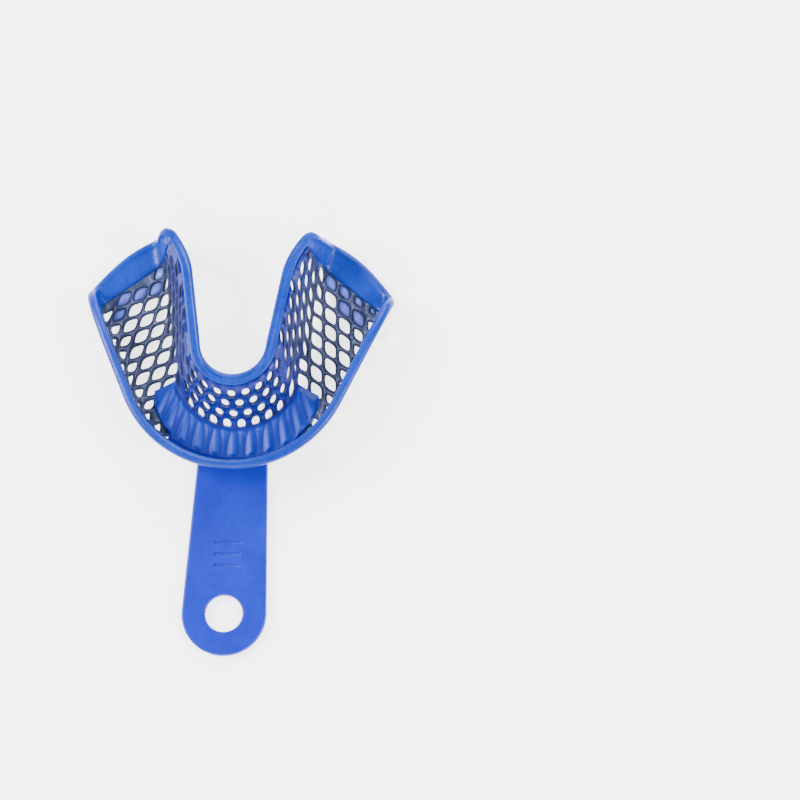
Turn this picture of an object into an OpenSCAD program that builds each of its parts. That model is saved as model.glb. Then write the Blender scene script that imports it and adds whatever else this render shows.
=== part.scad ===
// Perforated lower impression tray: a formed steel mesh trough in a moulded plastic border,
// with a solid ridged pad at the front and a flat handle.
// The trough opens upwards (+Z), the handle points to -Y, and the tray stands on z = 0.
// The trough is one curved sheet. A place on it is given by s, which runs along the horseshoe
// from the left end (-1) to the right end (1), and by t, which runs across it: 0 at the outer
// rim, 1 at the outer fold, 2 at the inner fold, 3 at the crest of the inner wall and 4 at the
// inner rim.

/* [Outer rim] */
// Radius of the outer rim at the front
rim_r = 29.9; // [24:0.1:34]
// Angle by which each outer arm spreads from straight back
rim_spread = 24.5; // [10:0.5:28]
// Length of each straight outer arm
rim_arm = 31.5; // [24:0.1:38]
// Height of the outer rim's centre line
rim_h = 11.2; // [7:0.1:14]
// Distance that the front wall leans out from its foot to the rim
front_lean = 2.6; // [1:0.1:5]

/* [Inner rim] */
// Distance from the outer rim back to the inner rim at the front
trough_depth = 21.9; // [20:0.1:30]
// Radius of the inner rim at the front
tongue_r = 9.25; // [8:0.05:14]
// Angle by which each inner arm spreads from straight back
tongue_spread = 9.2; // [2:0.1:12]
// Length of each straight inner arm
tongue_arm = 31; // [24:0.5:36]
// Distance by which each inner rim turns outwards at its tip
tip_flare = 3.5; // [0:0.1:5]
// Height of the crest of the inner wall
crest_h = 15.7; // [10:0.1:20]
// Distance that the inner wall leans in from its foot to its crest
tongue_lean = 7.2; // [4:0.1:9]
// Width of the lip from the crest to the inner rim
lip_w = 2; // [1:0.1:5]
// Height that the lip falls from the crest to the inner rim
lip_drop = 0.8; // [0:0.1:2]

/* [Sheet] */
// Thickness of the steel mesh
mesh_t = 1.2; // [0.8:0.1:1.6]
// Thickness of the moulded pad and bands
band_t = 1.8; // [1.6:0.1:2.4]
// Diameter of the round bead along the rim
bead_d = 2.5; // [2.4:0.1:3]
// Number of mesh cells along the horseshoe
cells = 26; // [20:2:30]
// Half width of a mesh hole, as a share of its cell
hole_w = 0.36; // [0.25:0.01:0.4]
// Half length of a mesh hole, as a share of its cell
hole_l = 0.40; // [0.3:0.01:0.44]
// Height of the ridges on the front pad
ridge_h = 0.9; // [0.3:0.1:1.5]

/* [Handle] */
// Length of the handle in front of the rim
handle_l = 48.3; // [35:0.1:60]
// Width of the handle at its round end
handle_end_w = 22; // [20:0.5:26]
// Thickness of the handle
handle_t = 2.4; // [1.8:0.1:3]
// Diameter of the hole in the handle
hang_d = 9.7; // [6:0.1:12]
// Depth of the three grooves that mark the size
mark_depth = 0.4; // [0.2:0.1:0.8]
// Length of each groove
mark_l = 6; // [4:0.5:8]
// Width of each groove
mark_w = 0.9; // [0.6:0.1:1.2]
// Distance from one groove to the next
mark_pitch = 3; // [2:0.5:4]
// Distance from the handle's hole to the first groove
mark_y = 12.5; // [10:0.5:18]

/* [Hidden] */
$fn = 96;
mid_z = bead_d / 2;
bead_r = bead_d / 2;
// Rows of cells on the outer wall, the floor and the inner wall
wall_rows = 2;
floor_rows = 4;
tongue_rows = 4;
rows = wall_rows + floor_rows + tongue_rows;
// Shares of the outer wall's height that stay solid below its rim, and of the horseshoe at its ends
rim_band = 0.2;
end_band = 0.06;
// Share of the horseshoe by which the floor's ends bulge backwards, where across the sheet they
// bulge most, and how far across it to either side the bulge goes
end_bulge = 0.058;
bulge_t = 1.7;
bulge_reach = 0.9;
// Half cells from the midline to which the pad closes each floor row, and how far the solid front
// wall and the front of the inner wall reach
pad_reach = [7, 12, 11, 10];
wall_reach = 7;
front_reach = 9;
// How much tighter the outer fold bends than the rim, and the inner fold than its distance from the
// crest would give
outer_tighter = 0.5;
inner_tighter = 2.5;
// How much shorter the outer fold's arms are than the rim's, and how much longer those of the inner
// fold and the crest are than the inner rim's
outer_shorter = 2;
inner_longer = 2.5;
crest_longer = 0.5;
// Angle by which the inner fold spreads more than the inner rim
inner_wider = 0.8;
// Share of the horseshoe's half from which the crest and the inner rim turn outwards
flare_start = 0.75;
// How square the outer and inner corners of the rim are
outer_corner = 12;
inner_corner = 30;
// Half cells from the midline to either side of the handle's root
root_reach = 4;
// Each line across the sheet: start y, radius, spread, arm length, height, the direction of its
// thickness as distance inwards and upwards, and its flare at the ends
outer_rim = [0, rim_r, rim_spread, rim_arm, rim_h, 1, 0.2, 0];
outer_fold = [front_lean, rim_r - outer_tighter, rim_spread, rim_arm - outer_shorter, mid_z, 1, 1, 0];
inner_fold = [trough_depth - lip_w - tongue_lean, tongue_r + lip_w + tongue_lean - inner_tighter,
    tongue_spread + inner_wider, tongue_arm + inner_longer, mid_z, -0.7, 1, 0];
crest = [trough_depth - lip_w, tongue_r + lip_w, tongue_spread, tongue_arm + crest_longer, crest_h,
    -0.5, 1, tip_flare];
inner_rim = [trough_depth, tongue_r, tongue_spread, tongue_arm, crest_h - lip_drop, 0.2, 1, tip_flare];
LINES = [outer_rim, outer_fold, inner_fold, crest, inner_rim];

// Arc length from the midline to the end of the curved front of a line
function curve_length(line) = line[1] * (90 - line[2]) * PI / 180;

// Direction of a line at s, in degrees from +X
function heading(line, s) = let(
        far = abs(s) * (curve_length(line) + line[3]),
        turn = min(far / line[1] * 180 / PI, 90 - line[2]))
    sign(s) * turn;

// Point of a line at s
function line_point(line, s) = let(
        far = abs(s) * (curve_length(line) + line[3]),
        turn = abs(heading(line, s)),
        along = max(far - curve_length(line), 0),
        flare = line[7] * pow(max(abs(s) - flare_start, 0) / (1 - flare_start), 2),
        x = line[1] * sin(turn) + along * cos(turn) + flare,
        y = line[0] + line[1] * (1 - cos(turn)) + along * sin(turn))
    [sign(s) * x, y, line[4]];

// Point of a line at s, moved off the middle of the sheet by rise
function skin_point(line, s, rise) = let(turn = heading(line, s))
    line_point(line, s) + rise * [-sin(turn) * line[5], cos(turn) * line[5], line[6]];

// Point of the sheet at s and t, off its middle by rise
function sheet(s, t, rise) = let(
        k = min(floor(t), 3),
        share = t - k)
    skin_point(LINES[k], s, rise) * (1 - share) + skin_point(LINES[k + 1], s, rise) * share;

// Place along s of half cell h, and place across t of row j
function s_at(h) = (h / cells - 1) * (1 - end_band);
function t_at(j) =
    j <= wall_rows ? rim_band + (1 - rim_band) * j / wall_rows :
    j <= wall_rows + floor_rows ? 1 + (j - wall_rows) / floor_rows :
    2 + (j - wall_rows - floor_rows) / tongue_rows;

// Cells of a row as [half cell, row, width in half cells]; odd rows start with half a cell
function row_cells(j) = j % 2 == 0 ?
    [for (i = [0:cells - 1]) [2 * i, j, 2]] :
    concat([[0, j, 1]], [for (i = [0:cells - 2]) [2 * i + 1, j, 2]], [[2 * cells - 1, j, 1]]);
ALL_CELLS = [for (j = [0:rows - 1]) each row_cells(j)];

// Distance of a cell's middle from the midline, in half cells
function off_middle(cell) = cell[0] + cell[2] / 2 - cells;

function on_floor(cell) = cell[1] >= wall_rows && cell[1] < wall_rows + floor_rows;
function in_pad(cell) = on_floor(cell) && abs(off_middle(cell)) <= pad_reach[cell[1] - wall_rows];
function in_front_wall(cell) = cell[1] < wall_rows && abs(off_middle(cell)) <= wall_reach;
function in_inner_wall(cell) = cell[1] >= wall_rows + floor_rows;
function in_inner_front(cell) = in_inner_wall(cell) && abs(off_middle(cell)) <= front_reach;
function on_side(cell, side) = side * off_middle(cell) > 0;

// Cell of row j that holds the half cell h
function cell_at(h, j) = j % 2 == 0 ? [2 * floor(h / 2), j, 2] :
    h == 0 || h == 2 * cells - 1 ? [h, j, 1] : [2 * floor((h - 1) / 2) + 1, j, 2];
function on_grid(h, j) = h >= 0 && h < 2 * cells && j >= 0 && j < rows;

// Index of a grid point on the upper face; the lower face follows it by grid_size
grid_w = 2 * cells + 1;
grid_size = grid_w * (rows + 1);
function grid(h, j) = j * grid_w + h;

// Corners of a cell, counter-clockwise seen from inside the trough
function cell_loop(cell) = let(h = cell[0], j = cell[1], w = cell[2])
    w == 1 ? [grid(h, j), grid(h + 1, j), grid(h + 1, j + 1), grid(h, j + 1)] :
    [grid(h, j), grid(h + 1, j), grid(h + 2, j), grid(h + 2, j + 1), grid(h + 1, j + 1), grid(h, j + 1)];

// Half cells that lie across each edge of cell_loop
function cell_neighbours(cell) = let(h = cell[0], j = cell[1], w = cell[2])
    w == 1 ? [[h, j - 1], [h + 1, j], [h, j + 1], [h - 1, j]] :
    [[h, j - 1], [h + 1, j - 1], [h + 2, j], [h + 1, j + 1], [h, j + 1], [h - 1, j]];

// Corners of the hole in a full cell, or its raised middle, at one face of the sheet
HOLE = [[-1, -0.45], [0, -1], [1, -0.45], [1, 0.45], [0, 1], [-1, 0.45]];
function hole_points(cell, rise) = let(
        s0 = s_at(cell[0]), s2 = s_at(cell[0] + 2), t0 = t_at(cell[1]), t1 = t_at(cell[1] + 1))
    [for (p = HOLE) sheet((s0 + s2) / 2 + p[0] * hole_w * (s2 - s0),
        (t0 + t1) / 2 + p[1] * hole_l * (t1 - t0), rise)];
function cell_middle(cell, rise) = sheet((s_at(cell[0]) + s_at(cell[0] + cell[2])) / 2,
    (t_at(cell[1]) + t_at(cell[1] + 1)) / 2, rise);

// Triangles of a flat band between two loops of the same length
function band_faces(loop, inside) = [for (k = [0:len(loop) - 1]) let(n = (k + 1) % len(loop))
    each [[loop[k], inside[n], loop[n]], [loop[k], inside[k], inside[n]]]];
function flipped(faces) = [for (f = faces) [f[0], f[2], f[1]]];
function shifted(loop, by) = [for (i = loop) i + by];

// Solid piece of the sheet made of the cells that belong() picks, from rise low to rise high.
// Its full cells are open, or solid with a raised middle where ridge is above 0.
module sheet_piece(belongs, low, high, open = false, ridge = 0) {
    picked = [for (cell = ALL_CELLS) if (belongs(cell)) cell];
    base = 2 * grid_size;
    pierced = function(cell) open && cell[2] == 2;
    points = concat(
        [for (rise = [high, low]) for (j = [0:rows]) for (h = [0:2 * cells]) sheet(s_at(h), t_at(j), rise)],
        [for (cell = picked) each pierced(cell) ?
            concat(hole_points(cell, high), hole_points(cell, low)) :
            [for (k = [0:11]) cell_middle(cell, k < 6 ? high + ridge : low)]]);
    faces = [for (n = [0:len(picked) - 1]) let(
            cell = picked[n],
            loop = cell_loop(cell),
            near = cell_neighbours(cell),
            top_hole = [for (k = [0:5]) base + 12 * n + k],
            low_loop = shifted(loop, grid_size),
            low_hole = shifted(top_hole, 6),
            last = len(loop) - 1)
        each concat(
            pierced(cell) ? concat(band_faces(loop, top_hole), flipped(band_faces(low_loop, low_hole)),
                band_faces(top_hole, low_hole)) :
            [for (k = [0:last]) let(m = (k + 1) % (last + 1))
                each [[top_hole[0], loop[m], loop[k]], [low_hole[0], low_loop[k], low_loop[m]]]],
            [for (k = [0:last]) let(
                    m = (k + 1) % (last + 1),
                    held = on_grid(near[k][0], near[k][1]) && belongs(cell_at(near[k][0], near[k][1])))
                if (!held) each [[loop[k], loop[m], low_loop[m]], [loop[k], low_loop[m], low_loop[k]]]])];
    placed() polyhedron(points, faces, convexity = 10);
}

module front_pad() color("royalblue")
    sheet_piece(function(cell) in_pad(cell), -mid_z, band_t / 2, ridge = ridge_h);

module front_wall() color("royalblue")
    sheet_piece(function(cell) in_front_wall(cell), -band_t / 2, band_t / 2);

module outer_mesh(side) color("lightslategray")
    sheet_piece(function(cell) cell[1] < wall_rows && !in_front_wall(cell) && on_side(cell, side),
        -mesh_t / 2, mesh_t / 2, open = true);

module floor_mesh(side) color("lightslategray")
    sheet_piece(function(cell) on_floor(cell) && !in_pad(cell) && on_side(cell, side),
        -mesh_t / 2, mesh_t / 2, open = true);

module inner_mesh(side) color("lightslategray")
    sheet_piece(function(cell) in_inner_wall(cell) && !in_inner_front(cell) && on_side(cell, side),
        -mesh_t / 2, mesh_t / 2, open = true);

module inner_mesh_front() color("lightslategray")
    sheet_piece(function(cell) in_inner_front(cell), -mesh_t / 2, mesh_t / 2, open = true);

// Places round the edge of the mesh, one for each grid point, as [s, t]
edge_places = concat(
    [for (h = [0:2 * cells - 1]) [s_at(h), t_at(0)]],
    [for (j = [0:rows - 1]) [s_at(2 * cells), t_at(j)]],
    [for (h = [2 * cells:-1:1]) [s_at(h), t_at(rows)]],
    [for (j = [rows:-1:1]) [s_at(0), t_at(j)]]);

// Place on the rim beyond a place on the edge of the mesh
function rim_t(t) = t < 1 ? (t - rim_band) / (1 - rim_band) : t < 2 ? t : 2 * t - 2;
function rim_place(place) = let(
        t_mid = (t_at(0) + t_at(rows)) / 2,
        u = place[0] / (1 - end_band),
        v = (place[1] - t_mid) / (t_at(rows) - t_mid),
        corner = v < 0 ? outer_corner : inner_corner,
        pull = pow(pow(abs(u), corner) + pow(abs(v), corner), -1 / corner),
        bulge = end_bulge * pow(max(1 - pow((place[1] - bulge_t) / bulge_reach, 2), 0), 2))
    [u * pull + sign(u) * bulge * pow(abs(u), inner_corner), rim_t(t_mid + (place[1] - t_mid) * pull)];

function unit(v) = v / norm(v);

// Section of the border at a place: a flat band that ends in a round bead
function border_section(place) = let(
        rim = rim_place(place),
        inside = sheet(place[0], place[1], 0),
        centre = sheet(rim[0], rim[1], 0),
        up = unit(sheet(rim[0], rim[1], 1) - centre),
        out = unit(centre - inside - up * ((centre - inside) * up)))
    concat([sheet(place[0], place[1], band_t / 2)],
        [for (a = [135:-45:-135]) centre + bead_r * (cos(a) * out + sin(a) * up)],
        [sheet(place[0], place[1], -band_t / 2)]);

BORDER = [for (place = edge_places) border_section(place)];

// The origin is under the middle of the whole tray
back_y = max([for (section = BORDER) for (point = section) point[1]]);
origin_y = (back_y - handle_l) / 2;
module placed() translate([0, -origin_y, 0]) children();

module rim_border() color("cornflowerblue") {
    count = len(BORDER);
    sides = len(BORDER[0]);
    placed() polyhedron([for (section = BORDER) each section],
        [for (i = [0:count - 1]) for (k = [0:sides - 1]) let(
                a = i * sides + k,
                b = i * sides + (k + 1) % sides,
                c = ((i + 1) % count) * sides + (k + 1) % sides,
                d = ((i + 1) % count) * sides + k)
            each [[a, b, c], [a, c, d]]], convexity = 10);
}

// Point on the outside of the front wall, level with the top of the handle
function root_point(h) = let(
        foot = sheet(s_at(h), 1, -band_t / 2),
        top = sheet(s_at(h), t_at(0), -band_t / 2),
        share = (handle_t - foot[2]) / (top[2] - foot[2]),
        point = foot + share * (top - foot))
    [point[0], point[1]];

module handle() color("royalblue") {
    end_r = handle_end_w / 2;
    end_y = end_r - handle_l;
    placed() difference() {
        linear_extrude(handle_t) {
            translate([0, end_y]) circle(end_r);
            polygon(concat([[end_r, end_y]],
                [for (h = [cells + root_reach:-1:cells - root_reach]) root_point(h)],
                [[-end_r, end_y]]));
        }
        translate([0, end_y, -1]) cylinder(h = handle_t + 2, d = hang_d);
        for (i = [0:2]) translate([0, end_y + mark_y + mark_pitch * i, handle_t - mark_depth])
            linear_extrude(mark_depth + 1) {
                square([mark_l, mark_w], center = true);
                for (x = [-1, 1]) translate([x * mark_l / 2, 0]) circle(mark_w / 2);
            }
    }
}

front_pad();
front_wall();
outer_mesh(-1);  // outer_mesh_left
outer_mesh(1);  // outer_mesh_right
floor_mesh(-1);  // floor_mesh_left
floor_mesh(1);  // floor_mesh_right
inner_mesh(-1);  // inner_mesh_left
inner_mesh(1);  // inner_mesh_right
inner_mesh_front();
rim_border();
handle();
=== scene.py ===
"""Looks of a perforated lower impression tray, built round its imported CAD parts.

Lengths in the script are in millimetres, and make_piece() turns them into metres.
The trough is one curved sheet. A place on it is (s, t): s runs along the horseshoe from the left
end (-1) to the right end (1), and t runs across it: 0 at the outer rim, 1 at the outer fold, 2 at
the inner fold, 3 at the crest of the inner wall and 4 at the inner rim.
"""

import math

import bpy
import numpy as np
from mathutils import Matrix, Vector
from mathutils.geometry import delaunay_2d_cdt


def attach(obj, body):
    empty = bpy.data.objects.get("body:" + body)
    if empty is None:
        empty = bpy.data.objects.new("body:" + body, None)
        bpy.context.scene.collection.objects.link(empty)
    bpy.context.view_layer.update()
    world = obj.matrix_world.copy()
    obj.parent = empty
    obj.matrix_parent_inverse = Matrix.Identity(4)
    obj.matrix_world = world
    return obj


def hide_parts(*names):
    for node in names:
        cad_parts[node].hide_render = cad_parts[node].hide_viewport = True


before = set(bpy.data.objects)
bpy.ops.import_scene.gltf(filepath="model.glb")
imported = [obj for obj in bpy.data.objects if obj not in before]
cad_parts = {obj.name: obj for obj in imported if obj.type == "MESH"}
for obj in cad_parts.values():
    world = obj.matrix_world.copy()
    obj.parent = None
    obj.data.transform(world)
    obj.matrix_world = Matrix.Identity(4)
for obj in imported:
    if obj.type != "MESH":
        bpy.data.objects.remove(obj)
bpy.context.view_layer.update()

MM = 0.001
ORIGIN_Y = 7.1597  # of the frame's origin behind the front of the rim
FLARE_START = 0.75  # share of a half from which the crest and the inner rim turn outwards
END = 0.94  # the mesh shows up to here at both ends
RIM_BAND = 0.2  # and down from here on the outer wall
BEAD = 1.25  # radius of the bead
BAND = 0.9  # half the thickness of the moulded bands
MESH = 0.55  # half the thickness of the mesh
FLOOR_Z = 1.25  # height of the middle of the floor
# How square the corners of the rim and of the open mesh are
OUTER_CORNER = 5.5
INNER_CORNER = 30
MESH_CORNER = 5
# How far the floor's ends bulge backwards, where across the sheet they do so most, and how far around it
END_BULGE = 0.058
BULGE_T = 1.7
BULGE_REACH = 0.9

# Lines across the sheet: start y, radius, spread in degrees, arm length, height, flare at the ends
LINES = (
    (0, 29.9, 24.5, 31.5, 11.2, 0),
    (2.6, 29.4, 24.5, 29.5, FLOOR_Z, 0),
    (12.7, 15.95, 10, 33.5, FLOOR_Z, 0),
    (19.9, 11.25, 9.2, 31.5, 15.7, 3.5),
    (21.9, 9.25, 9.2, 31, 14.9, 3.5),
)
# How far the sheet is rounded to either side of the three inner lines
FOLDS = ((1, 2.6), (2, 3.8), (3, 1.6))
AXIS_STEP = 1e-4  # for the sheet's slopes


# ---- The sheet ----

FIND_STEPS = 30
FIND_SHARE = 0.6
LONGEST_STEP = 0.05
FOUND_WITHIN = 0.5  # mm
T_MID = (RIM_BAND + 3) / 2  # halfway across the open mesh


def unit(vectors):
    return vectors / np.linalg.norm(vectors, axis=-1, keepdims=True)


def line_heading(line, s):
    """Direction of a line at s, as an angle from +X."""
    _, radius, spread, arm, _, _ = line
    turn = math.radians(90 - spread)
    return np.sign(s) * np.minimum(np.abs(s) * (turn + arm / radius), turn)


def line_place(line, s):
    """Points of a line at s."""
    start, radius, spread, arm, height, flare = line
    curve = radius * math.radians(90 - spread)
    turn = np.abs(line_heading(line, s))
    along = np.maximum(np.abs(s) * (curve + arm) - curve, 0)
    out = flare * (np.maximum(np.abs(s) - FLARE_START, 0) / (1 - FLARE_START)) ** 2
    x = radius * np.sin(turn) + along * np.cos(turn) + out
    y = start + radius * (1 - np.cos(turn)) + along * np.sin(turn)
    return np.stack([np.sign(s) * x, y, np.full_like(x, height)], -1)


def sheet_middle(s, t):
    """Points in the middle of the sheet, with its folds rounded."""
    lines = np.stack([line_place(line, s) for line in LINES])
    spans = np.diff(lines, axis=0)
    lengths = np.linalg.norm(spans, axis=-1)
    k = np.clip(np.floor(t), 0, 3).astype(int)
    each = np.arange(len(s))
    points = lines[k, each] + (t - k)[:, None] * spans[k, each]
    for fold, width in FOLDS:
        away = np.where(t < fold, (fold - t) * lengths[fold - 1], (t - fold) * lengths[fold])
        bend = unit(spans[fold]) - unit(spans[fold - 1])
        points += bend * (np.maximum(width - away, 0) ** 2 / (4 * width))[:, None]
    return points


def slopes(places_to_points, s, t):
    """How the points of a function of (s, t) move with s and with t."""
    by_s = places_to_points(s + AXIS_STEP, t) - places_to_points(s - AXIS_STEP, t)
    by_t = places_to_points(s, t + AXIS_STEP) - places_to_points(s, t - AXIS_STEP)
    return by_s / (2 * AXIS_STEP), by_t / (2 * AXIS_STEP)


def sheet_axes(s, t):
    """How the sheet's middle moves with s and with t."""
    return slopes(sheet_middle, s, t)


def sheet(s, t, rise):
    """Points of the sheet, off its middle by rise towards the inside of the trough."""
    by_s, by_t = sheet_axes(s, t)
    return sheet_middle(s, t) + unit(np.cross(by_s, by_t)) * np.reshape(rise, (-1, 1))


def flattened(s, t):
    """Plan of the sheet with both walls laid out flat from the floor."""
    lines = [line_place(line, s) for line in LINES]
    outer_wall = np.linalg.norm(lines[1] - lines[0], axis=-1)
    inner_wall = np.linalg.norm(lines[3] - lines[2], axis=-1)
    inwards = []
    for line in LINES[1:3]:
        heading = line_heading(line, s)
        inwards.append(np.stack([-np.sin(heading), np.cos(heading)], -1))
    u = np.clip(t - 1, 0, 1)[:, None]
    floor = lines[1][:, :2] * (1 - u) + lines[2][:, :2] * u
    out = (np.maximum(1 - t, 0) * outer_wall)[:, None] * inwards[0]
    up = (np.maximum(t - 2, 0) * inner_wall)[:, None] * inwards[1]
    return floor - out + up


def flattened_axes(s, t):
    """2 x 2 matrices that turn a small step in (s, t) into a step on the flattened plan."""
    return np.stack(slopes(flattened, s, t), -1)


def find_places(targets):
    """(s, t) of points on the flattened plan, and which of them were found."""
    known_s, known_t = np.meshgrid(np.linspace(-1, 1, 161), np.linspace(0.05, 3.05, 61))
    known_s, known_t = known_s.ravel(), known_t.ravel()
    known = flattened(known_s, known_t)
    nearest = [np.argmin(((known - target) ** 2).sum(-1)) for target in targets]
    places = np.stack([known_s[nearest], known_t[nearest]], -1)
    # The plan bends at the folds, so each step goes only part of the way, and never far
    for _ in range(FIND_STEPS):
        s, t = places.T
        miss = targets - flattened(s, t)
        steps = np.linalg.solve(flattened_axes(s, t), miss[:, :, None])[:, :, 0]
        places += np.clip(steps * FIND_SHARE, -LONGEST_STEP, LONGEST_STEP)
    miss = targets - flattened(places[:, 0], places[:, 1])
    return places, np.linalg.norm(miss, axis=-1) < FOUND_WITHIN


def rim_places(places):
    """(s, t) on the rim beyond places on the edge of the mesh, with rounded corners."""
    u = places[:, 0] / END
    v = (places[:, 1] - T_MID) / (3 - T_MID)
    corner = np.where(v < 0, OUTER_CORNER, INNER_CORNER)
    pull = (np.abs(u) ** corner + np.abs(v) ** corner) ** (-1 / corner)
    bulge = END_BULGE * np.maximum(1 - ((places[:, 1] - BULGE_T) / BULGE_REACH) ** 2, 0) ** 2
    s = u * pull + np.sign(u) * bulge * np.abs(u) ** INNER_CORNER
    t = T_MID + (places[:, 1] - T_MID) * pull
    # The edge of the mesh at RIM_BAND goes to the outer rim at 0, and its edge at 3 to the inner rim at 4
    t = np.where(t < 1, (t - RIM_BAND) / (1 - RIM_BAND), np.where(t < 2, t, 2 * t - 2))
    return np.stack([s, t], -1)


def edge_places():
    """Places round the edge of the open mesh."""
    along = np.linspace(-END, END, 209)
    across = np.linspace(RIM_BAND, 3, 61)
    places = [(s, RIM_BAND) for s in along[:-1]] + [(END, t) for t in across[:-1]]
    places += [(s, 3) for s in along[:0:-1]] + [(-END, t) for t in across[:0:-1]]
    return np.array(places)


def mesh_edge(places):
    """The same places with the outer corners of the open mesh rounded."""
    u = places[:, 0] / END
    v = np.minimum((places[:, 1] - T_MID) / (3 - T_MID), 0)
    pull = (np.abs(u) ** MESH_CORNER + np.abs(v) ** MESH_CORNER) ** (-1 / MESH_CORNER)
    pull = np.minimum(pull, 1)
    t = np.where(places[:, 1] < T_MID, T_MID + (places[:, 1] - T_MID) * pull, places[:, 1])
    return np.stack([places[:, 0] * pull, t], -1)


# ---- Making a piece ----

def make_piece(name, points, faces, materials, face_materials=None):
    """Smooth-shaded mesh object; points are in mm, with y = 0 at the front of the rim."""
    mesh = bpy.data.meshes.new(name)
    points = (np.asarray(points) - [0, ORIGIN_Y, 0]) * MM
    mesh.from_pydata(points.tolist(), [], faces)
    mesh.validate()
    for material in materials:
        mesh.materials.append(material)
    if face_materials is not None:
        mesh.polygons.foreach_set("material_index", face_materials)
    mesh.shade_smooth()
    piece = bpy.data.objects.new(name, mesh)
    bpy.context.scene.collection.objects.link(piece)
    return piece


def store(piece, name, values):
    """Keep one value for each point of a piece, for its material."""
    attribute = piece.data.attributes.new(name, "FLOAT", "POINT")
    attribute.data.foreach_set("value", values.astype(np.float32))


def strip(loop_a, loop_b):
    """Quads between two closed loops of the same length."""
    count = len(loop_a)
    return [
        (loop_a[k], loop_a[(k + 1) % count], loop_b[(k + 1) % count], loop_b[k])
        for k in range(count)
    ]


def triangulated(points, loops):
    """Triangles inside the first of several closed loops and outside the others.

    A loop is a list of indices of points. Points in no loop are used too.
    """
    edges = [(loop[k - 1], loop[k]) for loop in loops for k in range(len(loop))]
    owner = {i: number for number, loop in enumerate(loops) for i in loop}
    inside_only, closest = 1, 1e-7
    made = delaunay_2d_cdt([Vector(p) for p in points], edges, [], inside_only, closest)
    made_faces, origins = made[2], made[3]
    first = [known[0] if known else None for known in origins]
    triangles = []
    for face in made_faces:
        corners = [first[i] for i in face]
        owners = {owner.get(i, -1) for i in corners}
        in_hole = len(owners) == 1 and not owners & {0, -1}
        if None not in corners and not in_hole:
            triangles.append(tuple(corners))
    return triangles


# ---- The perforated sheet ----

HOLE_POINTS = 20
HOLE_POWER = 3.4  # how square a hole is: 2 is an ellipse
HOLE_SHARE = 0.73  # of the step from one hole to the next
EDGE = 0.42  # width of a strand's rounded shoulder
RING_ANGLES = (90, 60, 30, 0, -30, -60, -90)  # round the shoulder, from face to face
# Sizes that a hole is tried at, largest first, and what it must keep clear of its neighbours
SIZES = (1.0, 0.92, 0.84, 0.76, 0.68, 0.6, 0.52, 0.45, 0.38)
SHOULDER_GAP = 0.22
CLOSEST = 2.1  # from middle to middle
FILLER_GAP = 0.25
NEIGHBOR = 8  # holes further apart than this can't touch
# Holes this near the outer fold, in t, are no larger than this
FOLD_NEAR = 0.2
FOLD_SIZE = 0.76
JUST_PAST = 1.01  # the edge of the open mesh is at 1

# Holes on each arm: its side, one hole's middle on the flattened plan, and the steps to the next holes
# of its two rows, each as length and angle
ARM_LATTICES = (
    (-1, (-35.2, 44.3), (4.42, 20.0), (4.43, 76.3)),
    (1, (23.5, 42.7), (4.50, 92.7), (4.51, 147.2)),
)
LATTICE_REACH = 18  # steps to either side
# Part of the flattened plan that the arms lie in
ARM_X = 60
ARM_Y = (-12, 75)
PAST_MIDLINE = 2
# Rows of holes up the front of the inner wall: height up the wall, and by what share of a pitch it is moved
FRONT_ROWS = ((1.0, 0.5), (4.9, 0.0), (9.1, 0.5), (13.0, 0.0))
FRONT_PITCH = 3.75
FRONT_HOLE = (1.0, 1.38)
FRONT_POWER = 2.0
FRONT_REACH = 16


def step_vector(length, angle):
    return length * np.array([math.cos(math.radians(angle)), math.sin(math.radians(angle))])


def hole_outline(axis_a, axis_b, power):
    """Offsets in mm of a rounded outline that reaches as far as axis_a and axis_b from its middle."""
    angles = np.linspace(0, 2 * math.pi, HOLE_POINTS, endpoint=False)
    a = np.sign(np.cos(angles)) * np.abs(np.cos(angles)) ** (2 / power)
    b = np.sign(np.sin(angles)) * np.abs(np.sin(angles)) ** (2 / power)
    return a[:, None] * axis_a + b[:, None] * axis_b


# Where the solid pad ends across the sheet, and how far it and the front wall reach in s at each t
PAD_END = 1.975
PAD_SIDE = ((0, 0.29), (1.02, 0.29), (1.12, 0.31), (1.27, 0.44), (1.38, 0.465), (2.0, 0.375), (2.1, 0.36))


def pad_reach(t):
    return np.interp(t, *zip(*PAD_SIDE))


def arm_holes():
    """Holes of the arms, each as its (s, t), a matrix from mm to (s, t) and an outline in mm."""
    holes = []
    steps = range(-LATTICE_REACH, LATTICE_REACH + 1)
    for side, middle, step_a, step_b in ARM_LATTICES:
        a, b = step_vector(*step_a), step_vector(*step_b)
        outline = hole_outline(a * HOLE_SHARE / 2, b * HOLE_SHARE / 2, HOLE_POWER)
        targets = np.array([middle + i * a + j * b for i in steps for j in steps])
        x, y = targets.T
        near = (x * side > -PAST_MIDLINE) & (np.abs(x) < ARM_X) & (y > ARM_Y[0]) & (y < ARM_Y[1])
        places, found = find_places(targets[near])
        matrices = np.linalg.inv(flattened_axes(places[:, 0], places[:, 1]))
        for place, ok, matrix in zip(places, found, matrices):
            if ok and place[0] * side > 0:
                holes.append((place, matrix, outline))
    return holes


def mm_per_unit(s, t):
    """How many mm a whole unit of s and of t is at a place."""
    by_s, by_t = sheet_axes(np.array([s]), np.array([t]))
    return np.linalg.norm(by_s), np.linalg.norm(by_t)


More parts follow.
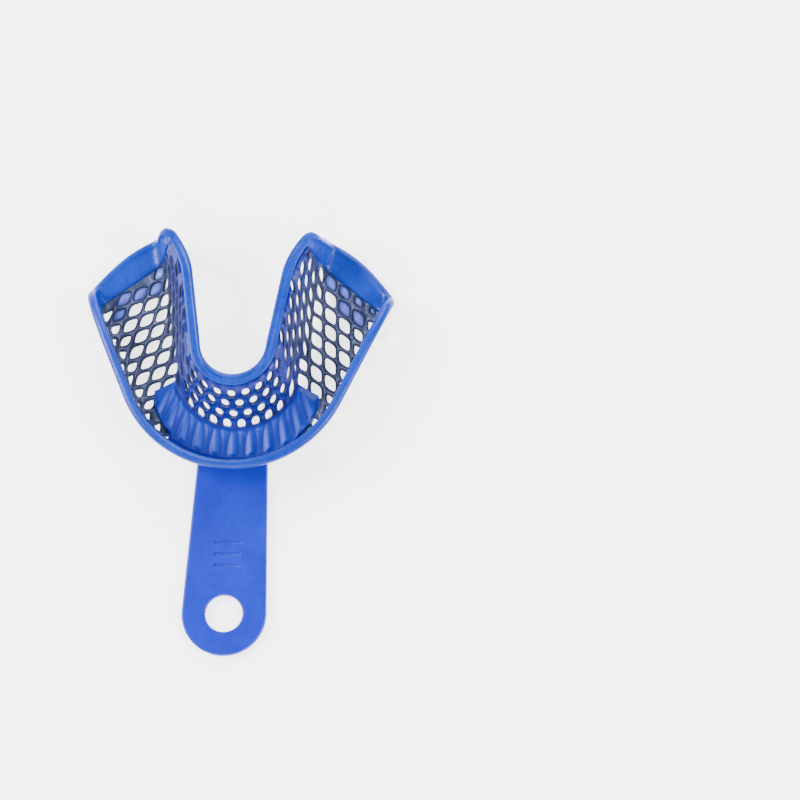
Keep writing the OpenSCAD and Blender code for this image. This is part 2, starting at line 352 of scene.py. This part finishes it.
def front_holes():
    """Holes up the front of the inner wall, in the same form."""
    holes = []
    outline = hole_outline(np.array([FRONT_HOLE[0], 0]), np.array([0, FRONT_HOLE[1]]), FRONT_POWER)
    most = math.ceil(FRONT_REACH / FRONT_PITCH)
    for height, moved in FRONT_ROWS:
        for number in range(-most, most + 1):
            far = (number + moved) * FRONT_PITCH
            if abs(far) > FRONT_REACH:
                continue
            t = 2 + height / mm_per_unit(0, 2.5)[1]
            s = far / mm_per_unit(0, t)[0]
            s_mm, t_mm = mm_per_unit(s, t)
            holes.append((np.array([s, t]), np.diag([1 / s_mm, 1 / t_mm]), outline))
    return holes


def ring_places(hole, offset):
    """(s, t) of a hole's outline, moved outwards by offset mm."""
    place, matrix, outline = hole
    return place + (outline + unit(outline) * offset) @ matrix.T


def on_open_mesh(places):
    """True if all places lie within the rounded edge of the open mesh, or only just past it."""
    u = np.abs(places[:, 0]) / END
    v = (places[:, 1] - T_MID) / (3 - T_MID)
    outer = np.where(v < 0, u ** MESH_CORNER + np.abs(v) ** MESH_CORNER, np.maximum(u, v))
    return outer.max() < JUST_PAST


def has_room(loop, loops):
    """True if a loop of points keeps clear of the loops before it."""
    middle = loop.mean(0)
    for other in loops:
        apart = np.linalg.norm(middle - other.mean(0))
        if apart < CLOSEST:
            return False
        if apart < NEIGHBOR and np.linalg.norm(loop[:, None] - other[None], axis=-1).min() <= SHOULDER_GAP:
            return False
    return True


def chosen_holes():
    """Holes that lie on the open mesh and leave a strand between each other, and their middles."""
    kept, loops = [], []
    for place, matrix, outline in front_holes() + arm_holes():
        s, t = place
        if t > 3 or t < RIM_BAND or abs(s) > END or (t < PAD_END and abs(s) < pad_reach(t)):
            continue
        largest = FOLD_SIZE if abs(t - 1) < FOLD_NEAR else 1
        for size in SIZES:
            hole = (place, matrix, outline * size)
            ring = ring_places(hole, EDGE)
            if size > largest or not on_open_mesh(ring):
                continue
            ring = np.concatenate([ring, (ring + np.roll(ring, 1, axis=0)) / 2])
            loop = sheet_middle(ring[:, 0], ring[:, 1])
            if has_room(loop, loops):
                kept.append(hole)
                loops.append(loop)
                break
    return kept, np.array([loop.mean(0) for loop in loops])


def coat(s, t):
    """How much of the moulded blue runs over the strands: most up the inner wall."""
    crest = np.clip((t - 2.15) / 0.5, 0, 1)
    front = np.clip((0.6 - np.abs(s)) / 0.2, 0, 1) * np.clip((t - 1.85) / 0.25, 0, 1)
    return np.maximum(crest, front)


def filler_places(holes, middles):
    """Places between the holes, so that the sheet keeps its curve where it is closed."""
    reaches = np.array([np.linalg.norm(outline, axis=-1).max() for _, _, outline in holes])
    reaches += EDGE + FILLER_GAP
    places = []
    for s in np.linspace(-END, END, 101)[1:-1]:
        for t in np.linspace(RIM_BAND, 3, 34)[1:-1]:
            point = sheet_middle(np.array([s]), np.array([t]))[0]
            if (np.linalg.norm(middles - point, axis=-1) - reaches).min() > 0:
                places.append((s, t))
    return places


def shoulder_rings(hole):
    """Rings of (s, t) round a hole's shoulder, widest at both faces of the sheet."""
    insets = [1 - math.cos(math.radians(angle)) for angle in RING_ANGLES]
    return [ring_places(hole, EDGE * inset) for inset in insets]


UNDER_BAND = 0.15  # share of the band that the mesh runs on below it
ROUGH_MM = np.array([58.0, 13.0])  # mm for a unit of s and of t, near enough to shape the triangles


def build_mesh(material):
    """The whole perforated sheet with rounded strands, and its holes."""
    holes, middles = chosen_holes()
    edge = edge_places()
    inside = mesh_edge(edge)
    border = [tuple(p) for p in (inside + (rim_places(edge) - inside) * UNDER_BAND)]
    rings = [shoulder_rings(hole) for hole in holes]
    flat = border + filler_places(holes, middles)
    loops = [list(range(len(border)))]
    for ring in rings:
        loops.append(list(range(len(flat), len(flat) + HOLE_POINTS)))
        flat += [tuple(p) for p in ring[0]]
    flat = np.array(flat)
    triangles = triangulated(flat * ROUGH_MM, loops)
    count = len(flat)
    points = [sheet(flat[:, 0], flat[:, 1], MESH), sheet(flat[:, 0], flat[:, 1], -MESH)]
    faces = list(triangles)
    faces += [tuple(i + count for i in reversed(face)) for face in triangles]
    faces += strip([i + count for i in loops[0]], loops[0])
    shade = [np.zeros(2 * count)]
    coats = [coat(flat[:, 0], flat[:, 1])] * 2
    size = 2 * count
    for loop, ring in zip(loops[1:], rings):
        before = loop
        for angle, places in zip(RING_ANGLES[1:-1], ring[1:-1]):
            level = math.sin(math.radians(angle))
            points.append(sheet(places[:, 0], places[:, 1], MESH * level))
            shade.append(np.full(HOLE_POINTS, 1 - abs(level)))
            coats.append(coat(places[:, 0], places[:, 1]))
            after = list(range(size, size + HOLE_POINTS))
            size += HOLE_POINTS
            faces += strip(after, before)
            before = after
        faces += strip([i + count for i in loop], before)
    piece = make_piece("steel_mesh", np.concatenate(points), faces, [material])
    # How far down a strand's flank each point lies, which the steel turns darker navy: partly the coating,
    # partly painted shade
    store(piece, "flank_navy_and_shade", np.concatenate(shade))
    store(piece, "coat", np.concatenate(coats))
    return piece, holes


# ---- The moulded border ----

BAND_SHARES = (0, 0.1, 0.25, 0.5, 0.75)  # places of the band's rings, from the mesh to the bead
BEAD_ANGLES = range(130, -131, -20)
PROUD = 0.06  # of the mesh, where the moulding thins out over it
FILM = 0.15  # half the thickness of a film
FILM_START = 0.84  # in s, for the first holes with a film
FILM_T = (1.1, 1.95)
FILM_GRIP = 0.1  # how far a film reaches into the strands


def add_films(holes, points, faces):
    """Thin lilac films that close the floor's last holes at both ends."""
    for hole in holes:
        s, t = hole[0]
        if abs(s) < FILM_START or not FILM_T[0] < t < FILM_T[1]:
            continue
        places = ring_places(hole, FILM_GRIP)
        start = len(points)
        top = list(range(start, start + HOLE_POINTS))
        low = [i + HOLE_POINTS for i in top]
        points = np.concatenate([
            points, sheet(places[:, 0], places[:, 1], FILM), sheet(places[:, 0], places[:, 1], -FILM),
        ])
        faces += [tuple(top), tuple(reversed(low))] + strip(low, top)
    return points


def build_border(material, film_material, holes):
    """Band and round bead round the whole edge of the tray, and its films."""
    edge = edge_places()
    inside = mesh_edge(edge)
    rim = rim_places(edge)
    centre = sheet(rim[:, 0], rim[:, 1], 0.0)
    up = unit(sheet(rim[:, 0], rim[:, 1], 1.0) - centre)
    toward = centre - sheet(inside[:, 0], inside[:, 1], 0.0)
    out = unit(toward - up * (toward * up).sum(-1, keepdims=True))
    upper, lower = [], []
    for share in BAND_SHARES:
        place = inside + (rim - inside) * share
        rise = BAND if share else MESH + PROUD
        upper.append(sheet(place[:, 0], place[:, 1], rise))
        lower.append(sheet(place[:, 0], place[:, 1], -rise))
    bead = [
        centre + BEAD * (math.cos(math.radians(a)) * out + math.sin(math.radians(a)) * up)
        for a in BEAD_ANGLES
    ]
    rings = upper + bead + lower[::-1]
    count = len(inside)
    faces = []
    for k in range(len(rings)):
        here = [k * count + i for i in range(count)]
        ahead = [((k + 1) % len(rings)) * count + i for i in range(count)]
        faces += strip(ahead, here)
    solid = len(faces)
    points = add_films(holes, np.concatenate(rings), faces)
    slots = [0] * solid + [1] * (len(faces) - solid)
    return make_piece("moulded_border", points, faces, [material, film_material], slots)


# ---- The pad and front wall ----

PAD_ROWS = 121
PAD_COLUMNS = 281
PAD_START = 0.1  # under the bead
RIDGE_PITCH = 0.0784  # in s, from one high ridge to the next
RIDGE_RISE = 0.8
LOW_SHARE = 0.3  # of the low ridges between the high ones
# The high ridges are highest at this t, and those between them take over after a quarter of the swing
RIDGE_T = 1.3
RIDGE_SWING = 1 / 0.6
CLEAR = 0.04  # of the ground


def ramp(distance, slope):
    """0 up to where distance is 0, and 1 from where it is 1 / slope."""
    return np.clip(distance * slope, 0, 1)


def build_pad(material):
    """Solid pad with its long, staggered ridges, and the front wall that it runs up into."""
    across = np.linspace(PAD_START, PAD_END, PAD_ROWS)
    along = np.linspace(-1, 1, PAD_COLUMNS)
    t, u = [grid.ravel() for grid in np.meshgrid(across, along, indexing="ij")]
    s = u * pad_reach(t)
    soft = np.minimum(ramp(1 - np.abs(u), 12), ramp(PAD_END - t, 9))
    soft = soft * soft * (3 - 2 * soft)
    turn = 2 * math.pi * s / RIDGE_PITCH
    swing = 2 * math.pi * (t - RIDGE_T) / RIDGE_SWING
    wave = LOW_SHARE * np.cos(2 * turn) + (1 - LOW_SHARE) * np.cos(turn) * np.cos(swing)
    crests = (0.5 + 0.5 * wave) * ramp(t - 1.02, 6) * ramp(PAD_END - t, 6)
    top = MESH + PROUD + soft * (BAND - MESH - PROUD + RIDGE_RISE * crests)
    on_ground = ramp(t - 0.95, 8) * ramp(PAD_END - t, 8)
    bottom = -BAND - on_ground * (FLOOR_Z - BAND - CLEAR)
    points = np.concatenate([sheet(s, t, top), sheet(s, t, bottom)])
    half = PAD_ROWS * PAD_COLUMNS
    faces = []
    for i in range(PAD_ROWS - 1):
        for j in range(PAD_COLUMNS - 1):
            corner = i * PAD_COLUMNS + j
            quad = (corner, corner + 1, corner + PAD_COLUMNS + 1, corner + PAD_COLUMNS)
            faces.append(quad)
            faces.append(tuple(k + half for k in reversed(quad)))
    rim = list(range(PAD_COLUMNS))
    rim += [i * PAD_COLUMNS + PAD_COLUMNS - 1 for i in range(1, PAD_ROWS)]
    rim += [half - 1 - j for j in range(1, PAD_COLUMNS)]
    rim += [i * PAD_COLUMNS for i in range(PAD_ROWS - 2, 0, -1)]
    faces += strip([i + half for i in rim], rim)
    piece = make_piece("front_pad_and_wall", points, faces, [material])
    # Crest heights, which the pad's material turns into a painted highlight on the ridges
    store(piece, "ridge", np.concatenate([crests, np.zeros(half)]))
    return piece


# ---- The handle ----

HANDLE_END_Y = -37.29  # middle of the round end
HANDLE_R = 11.0
HANDLE_T = 2.4
HANDLE_EDGE = 0.55  # radius of its rounded edges
FLAT_MARGIN = 0.3  # narrow flat ring beside each rounded edge, which keeps the rest evenly shaded
ROOT_HALF = 9.1
HANG_R = 4.85
# Grooves: distances from the middle of the round end, half length, radius of the ends, depth
MARKS = (12.5, 15.5, 18.5)
MARK_HALF = 3.0
MARK_R = 0.45
MARK_DEPTH = 0.4
# Section of a groove: how far each ring lies outside its outline, and how deep
MARK_SECTION = ((0.35, 0), (0.12, 0), (0, 0.1), (0, MARK_DEPTH - 0.05), (-0.1, MARK_DEPTH))


def grown(outline, by):
    """A closed outline, counter-clockwise, moved outwards by a distance."""
    ahead = np.roll(outline, -1, axis=0) - outline
    normals = unit(np.stack([ahead[:, 1], -ahead[:, 0]], -1))
    corners = unit(normals + np.roll(normals, 1, axis=0))
    return outline + corners * by


def circle(x, y, radius, count):
    angles = np.linspace(0, 2 * math.pi, count, endpoint=False)
    return np.stack([x + radius * np.cos(angles), y + radius * np.sin(angles)], -1)


def slot_outline(y):
    """Outline of one groove."""
    turns = np.linspace(0, math.pi, 11)
    right = [(MARK_HALF + MARK_R * math.sin(turn), y - MARK_R * math.cos(turn)) for turn in turns]
    left = [(-place_x, 2 * y - place_y) for place_x, place_y in right]
    return np.array(right + left)


def root_y(x):
    """Where the middle of the front wall's foot runs."""
    start, radius = LINES[1][:2]
    return start + radius - math.sqrt(radius ** 2 - x ** 2)


def handle_outline():
    """Round end and two straight sides that end inside the front wall."""
    turn = np.linspace(math.pi, 2 * math.pi, 61)
    end = [(HANDLE_R * math.cos(a), HANDLE_END_Y + HANDLE_R * math.sin(a)) for a in turn]
    length = root_y(ROOT_HALF) - HANDLE_END_Y
    shares = np.linspace(0, 1, 21)[1:]
    side = [(HANDLE_R + (ROOT_HALF - HANDLE_R) * u, HANDLE_END_Y + length * u) for u in shares]
    root = [(x, root_y(x)) for x in np.linspace(ROOT_HALF, -ROOT_HALF, 9)[1:-1]]
    return np.array(end + side + root + [(-x, y) for x, y in side[::-1]])


def build_handle(material):
    """Flat handle with rounded edges, its hole and the three size grooves."""
    outline = handle_outline()
    hang = circle(0, HANDLE_END_Y, HANG_R, 72)
    slots = [slot_outline(HANDLE_END_Y + y) for y in MARKS]
    points, faces = [], []

    def add(loop, z):
        start = sum(len(p) for p in points)
        points.append(np.column_stack([loop, np.full(len(loop), z)]))
        return list(range(start, start + len(loop)))

    bends = [math.radians(angle) for angle in (90, 67.5, 45, 22.5, 0)]
    edge = [(HANDLE_EDGE * (1 - math.cos(bend)), HANDLE_EDGE * (1 - math.sin(bend))) for bend in bends]
    edge.insert(0, (HANDLE_EDGE + FLAT_MARGIN, 0))
    levels = [(inset, HANDLE_T - drop) for inset, drop in edge]
    levels += [(inset, drop) for inset, drop in reversed(edge)]
    outer = [add(grown(outline, -inset), z) for inset, z in levels]
    bore = [add(grown(hang, inset), z) for inset, z in levels]
    for above, below in zip(outer, outer[1:]):
        faces += strip(below, above)
    for above, below in zip(bore, bore[1:]):
        faces += strip(above, below)
    mark_loops = []
    for slot in slots:
        rings = [add(grown(slot, wider), HANDLE_T - depth) for wider, depth in MARK_SECTION]
        for above, below in zip(rings, rings[1:]):
            faces += strip(above, below)
        faces.append(tuple(rings[-1]))
        mark_loops.append(rings[0])
    every = np.concatenate(points)
    top_loops = [outer[0], bore[0]] + mark_loops
    low_loops = [outer[-1], bore[-1]]
    for loops, faces_down in ((top_loops, False), (low_loops, True)):
        used = [i for loop in loops for i in loop]
        local = {i: k for k, i in enumerate(used)}
        for triangle in triangulated(every[used][:, :2], [[local[i] for i in loop] for loop in loops]):
            corners = [used[k] for k in triangle]
            faces.append(tuple(reversed(corners)) if faces_down else tuple(corners))
    return make_piece("grip", every, faces, [material])


# ---- Materials ----

def new_material(name):
    """New material with its node tree and its shader."""
    material = bpy.data.materials.new(name)
    material.use_nodes = True
    tree = material.node_tree
    return material, tree, tree.nodes["Principled BSDF"]


def noise(tree, scale, detail=4.0):
    """Noise in the piece's own coordinates; scale is in features per metre."""
    place = tree.nodes.new("ShaderNodeTexCoord")
    texture = tree.nodes.new("ShaderNodeTexNoise")
    texture.inputs["Scale"].default_value = scale
    texture.inputs["Detail"].default_value = detail
    tree.links.new(place.outputs["Object"], texture.inputs["Vector"])
    return texture.outputs["Fac"]


def ranged(tree, source, low, high, from_low=0.3, from_high=0.7):
    """Source turned into a value between low and high."""
    node = tree.nodes.new("ShaderNodeMapRange")
    node.inputs["From Min"].default_value = from_low
    node.inputs["From Max"].default_value = from_high
    node.inputs["To Min"].default_value = low
    node.inputs["To Max"].default_value = high
    tree.links.new(source, node.inputs["Value"])
    return node.outputs["Result"]


def point_value(tree, name):
    """A value that store() has kept on the points of the piece."""
    node = tree.nodes.new("ShaderNodeAttribute")
    node.attribute_name = name
    return node.outputs["Fac"]


def mixed(tree, factor, color_a, color_b):
    """Color a where factor is 0 and color b where it is 1; both may be sockets."""
    node = tree.nodes.new("ShaderNodeMix")
    node.data_type = "RGBA"
    tree.links.new(factor, node.inputs["Factor"])
    colors = {"A": color_a, "B": color_b}
    for socket in node.inputs:
        if socket.type != "RGBA":
            continue
        color = colors[socket.name]
        if isinstance(color, tuple):
            socket.default_value = (*color, 1)
        else:
            tree.links.new(color, socket)
    return next(socket for socket in node.outputs if socket.type == "RGBA")


def bumped(tree, shader, height, distance, strength):
    """Fine relief from height; distance is in metres."""
    node = tree.nodes.new("ShaderNodeBump")
    node.inputs["Strength"].default_value = strength
    node.inputs["Distance"].default_value = distance
    tree.links.new(height, node.inputs["Height"])
    tree.links.new(node.outputs["Normal"], shader.inputs["Normal"])


def plastic(name, deep, pale, roughness, glow=0.1, crests=None):
    """Moulded plastic with a faint orange peel, whose color drifts a little, or is paler on its crests as a
    painted highlight.
    """
    material, tree, shader = new_material(name)
    drift_and_crest_highlight = point_value(tree, crests) if crests else ranged(tree, noise(tree, 110), 0, 1)
    tree.links.new(mixed(tree, drift_and_crest_highlight, deep, pale), shader.inputs["Base Color"])
    dullness = ranged(tree, noise(tree, 700), roughness - 0.06, roughness + 0.08)
    tree.links.new(dullness, shader.inputs["Roughness"])
    bumped(tree, shader, noise(tree, 900, 2.0), 0.00006, 0.5)
    shader.inputs["IOR"].default_value = 1.46
    shader.inputs["Specular IOR Level"].default_value = 0.3
    shader.inputs["Subsurface Weight"].default_value = glow
    shader.inputs["Subsurface Radius"].default_value = (0.3, 0.5, 1.0)
    shader.inputs["Subsurface Scale"].default_value = 0.002
    return material


def steel():
    """Coated steel: paler on the faces of the strands, darker navy on their flanks, partly the coating's
    colour and partly painted shade, blue where it is coated.
    """
    material, tree, shader = new_material("coated_steel")
    patches = ranged(tree, noise(tree, 260), 0, 1)
    face = mixed(tree, patches, (0.03, 0.042, 0.1), (0.065, 0.08, 0.17))
    blue = mixed(tree, patches, (0.002, 0.008, 0.16), (0.005, 0.016, 0.28))
    coated = point_value(tree, "coat")
    face = mixed(tree, coated, face, blue)
    # Painted shade: the strands' flanks darken to near-black navy, partly the real blue coating and partly
    # the shade that falls between the strands
    color = mixed(tree, ranged(tree, point_value(tree, "flank_navy_and_shade"), 0, 1, 0.0, 0.6), face, (0.003, 0.008, 0.04))
    tree.links.new(color, shader.inputs["Base Color"])
    tree.links.new(ranged(tree, coated, 0.5, 0.1, 0, 1), shader.inputs["Metallic"])
    tree.links.new(ranged(tree, noise(tree, 1200), 0.36, 0.56), shader.inputs["Roughness"])
    bumped(tree, shader, noise(tree, 2200, 3.0), 0.00005, 0.6)
    return material


# The pad's pale colour on its ridge crests is a painted highlight where the light catches them
pad_blue = plastic("pad_blue", (0.0005, 0.004, 0.2), (0.004, 0.045, 0.5), 0.42, crests="ridge")
rim_blue = plastic("rim_blue", (0.001, 0.018, 0.24), (0.002, 0.035, 0.36), 0.3, 0.2)
handle_blue = plastic("handle_blue", (0.0005, 0.01, 0.32), (0.001, 0.016, 0.4), 0.36)
film_lilac = plastic("film_lilac", (0.07, 0.09, 0.36), (0.12, 0.14, 0.45), 0.4, 0.4)
steel_gray = steel()

# ---- Pieces ----

steel_mesh, open_holes = build_mesh(steel_gray)
moulded_border = build_border(rim_blue, film_lilac, open_holes)
pad = build_pad(pad_blue)
grip = build_handle(handle_blue)

MESH_NODES = (
    "outer_mesh_left", "outer_mesh_right", "floor_mesh_left", "floor_mesh_right",
    "inner_mesh_left", "inner_mesh_right", "inner_mesh_front",
)
STANDS_FOR = (
    (steel_mesh, MESH_NODES, "mesh"),
    (moulded_border, ("rim_border",), "plastic"),
    (pad, ("front_pad", "front_wall"), "plastic"),
    (grip, ("handle",), "plastic"),
)
for piece, nodes, slot_name in STANDS_FOR:
    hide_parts(*nodes)
    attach(piece, "root")

# ---- Studio ----

FLOOR_DROP = 0.00002  # so that the floor and the tray's underside don't lie in one plane
floor_mesh = bpy.data.meshes.new("studio_floor")
floor_corners = [(x, y, -FLOOR_DROP) for x, y in ((-2, -2), (2, -2), (2, 2), (-2, 2))]
floor_mesh.from_pydata(floor_corners, [], [(0, 1, 2, 3)])
studio_floor = bpy.data.objects.new("studio_floor", floor_mesh)
bpy.context.scene.collection.objects.link(studio_floor)
pale, pale_tree, pale_shader = new_material("pale_floor")
pale_shader.inputs["Base Color"].default_value = (0.9, 0.91, 0.92, 1)
pale_shader.inputs["Roughness"].default_value = 0.8
pale_shader.inputs["Emission Color"].default_value = (1, 1, 1, 1)
pale_shader.inputs["Emission Strength"].default_value = 2.6
floor_mesh.materials.append(pale)

# Soft lights all round, as name, place, diameter and power; each points at the origin
LIGHTS = (
    ("key", (-0.62, 0.12, 0.5), 0.5, 14),
    ("fill", (0.62, -0.2, 0.5), 0.5, 9),
    ("back", (0.1, 0.75, 0.5), 0.6, 9),
    ("front", (-0.1, -0.75, 0.5), 0.6, 6),
)
for name, place, size, power in LIGHTS:
    data = bpy.data.lights.new(name, "AREA")
    data.shape = "DISK"
    data.size = size
    data.energy = power
    lamp = bpy.data.objects.new(name, data)
    bpy.context.scene.collection.objects.link(lamp)
    lamp.location = place
    lamp.rotation_mode = "QUATERNION"
    lamp.rotation_quaternion = (-Vector(place)).to_track_quat("-Z", "Y")

world = bpy.data.worlds.new("studio")
world.use_nodes = True
world.node_tree.nodes["Background"].inputs["Color"].default_value = (0.95, 0.97, 1.0, 1)
world.node_tree.nodes["Background"].inputs["Strength"].default_value = 0.6
bpy.context.scene.world = world

# ---- Camera ----

LOOK_FROM = Vector((0.12, -0.22, 0.968)).normalized()
DISTANCE = 1.2
ROLL = math.radians(1.75)
HEART = Vector((0, -0.00016, 0.005))  # middle of the tray
ASIDE = 0.0436  # how far the camera aims to the right of it and above it, so that it stands to the left
ABOVE = 0.01125
camera_data = bpy.data.cameras.new("camera")
camera_data.sensor_width = 36
camera_data.lens = 208
camera = bpy.data.objects.new("camera", camera_data)
bpy.context.scene.collection.objects.link(camera)
level = (Vector((1, 0, 0)) - LOOK_FROM * LOOK_FROM.x).normalized()
upright = LOOK_FROM.cross(level)
right = level * math.cos(ROLL) + upright * math.sin(ROLL)
above = upright * math.cos(ROLL) - level * math.sin(ROLL)
position = HEART + LOOK_FROM * DISTANCE
aim = HEART + right * ASIDE + above * ABOVE
back = (position - aim).normalized()
side = (right - back * right.dot(back)).normalized()
turned = Matrix((side, back.cross(side), back)).transposed()
camera.location = position
camera.rotation_mode = "QUATERNION"
camera.rotation_quaternion = turned.to_quaternion()
bpy.context.scene.camera = camera
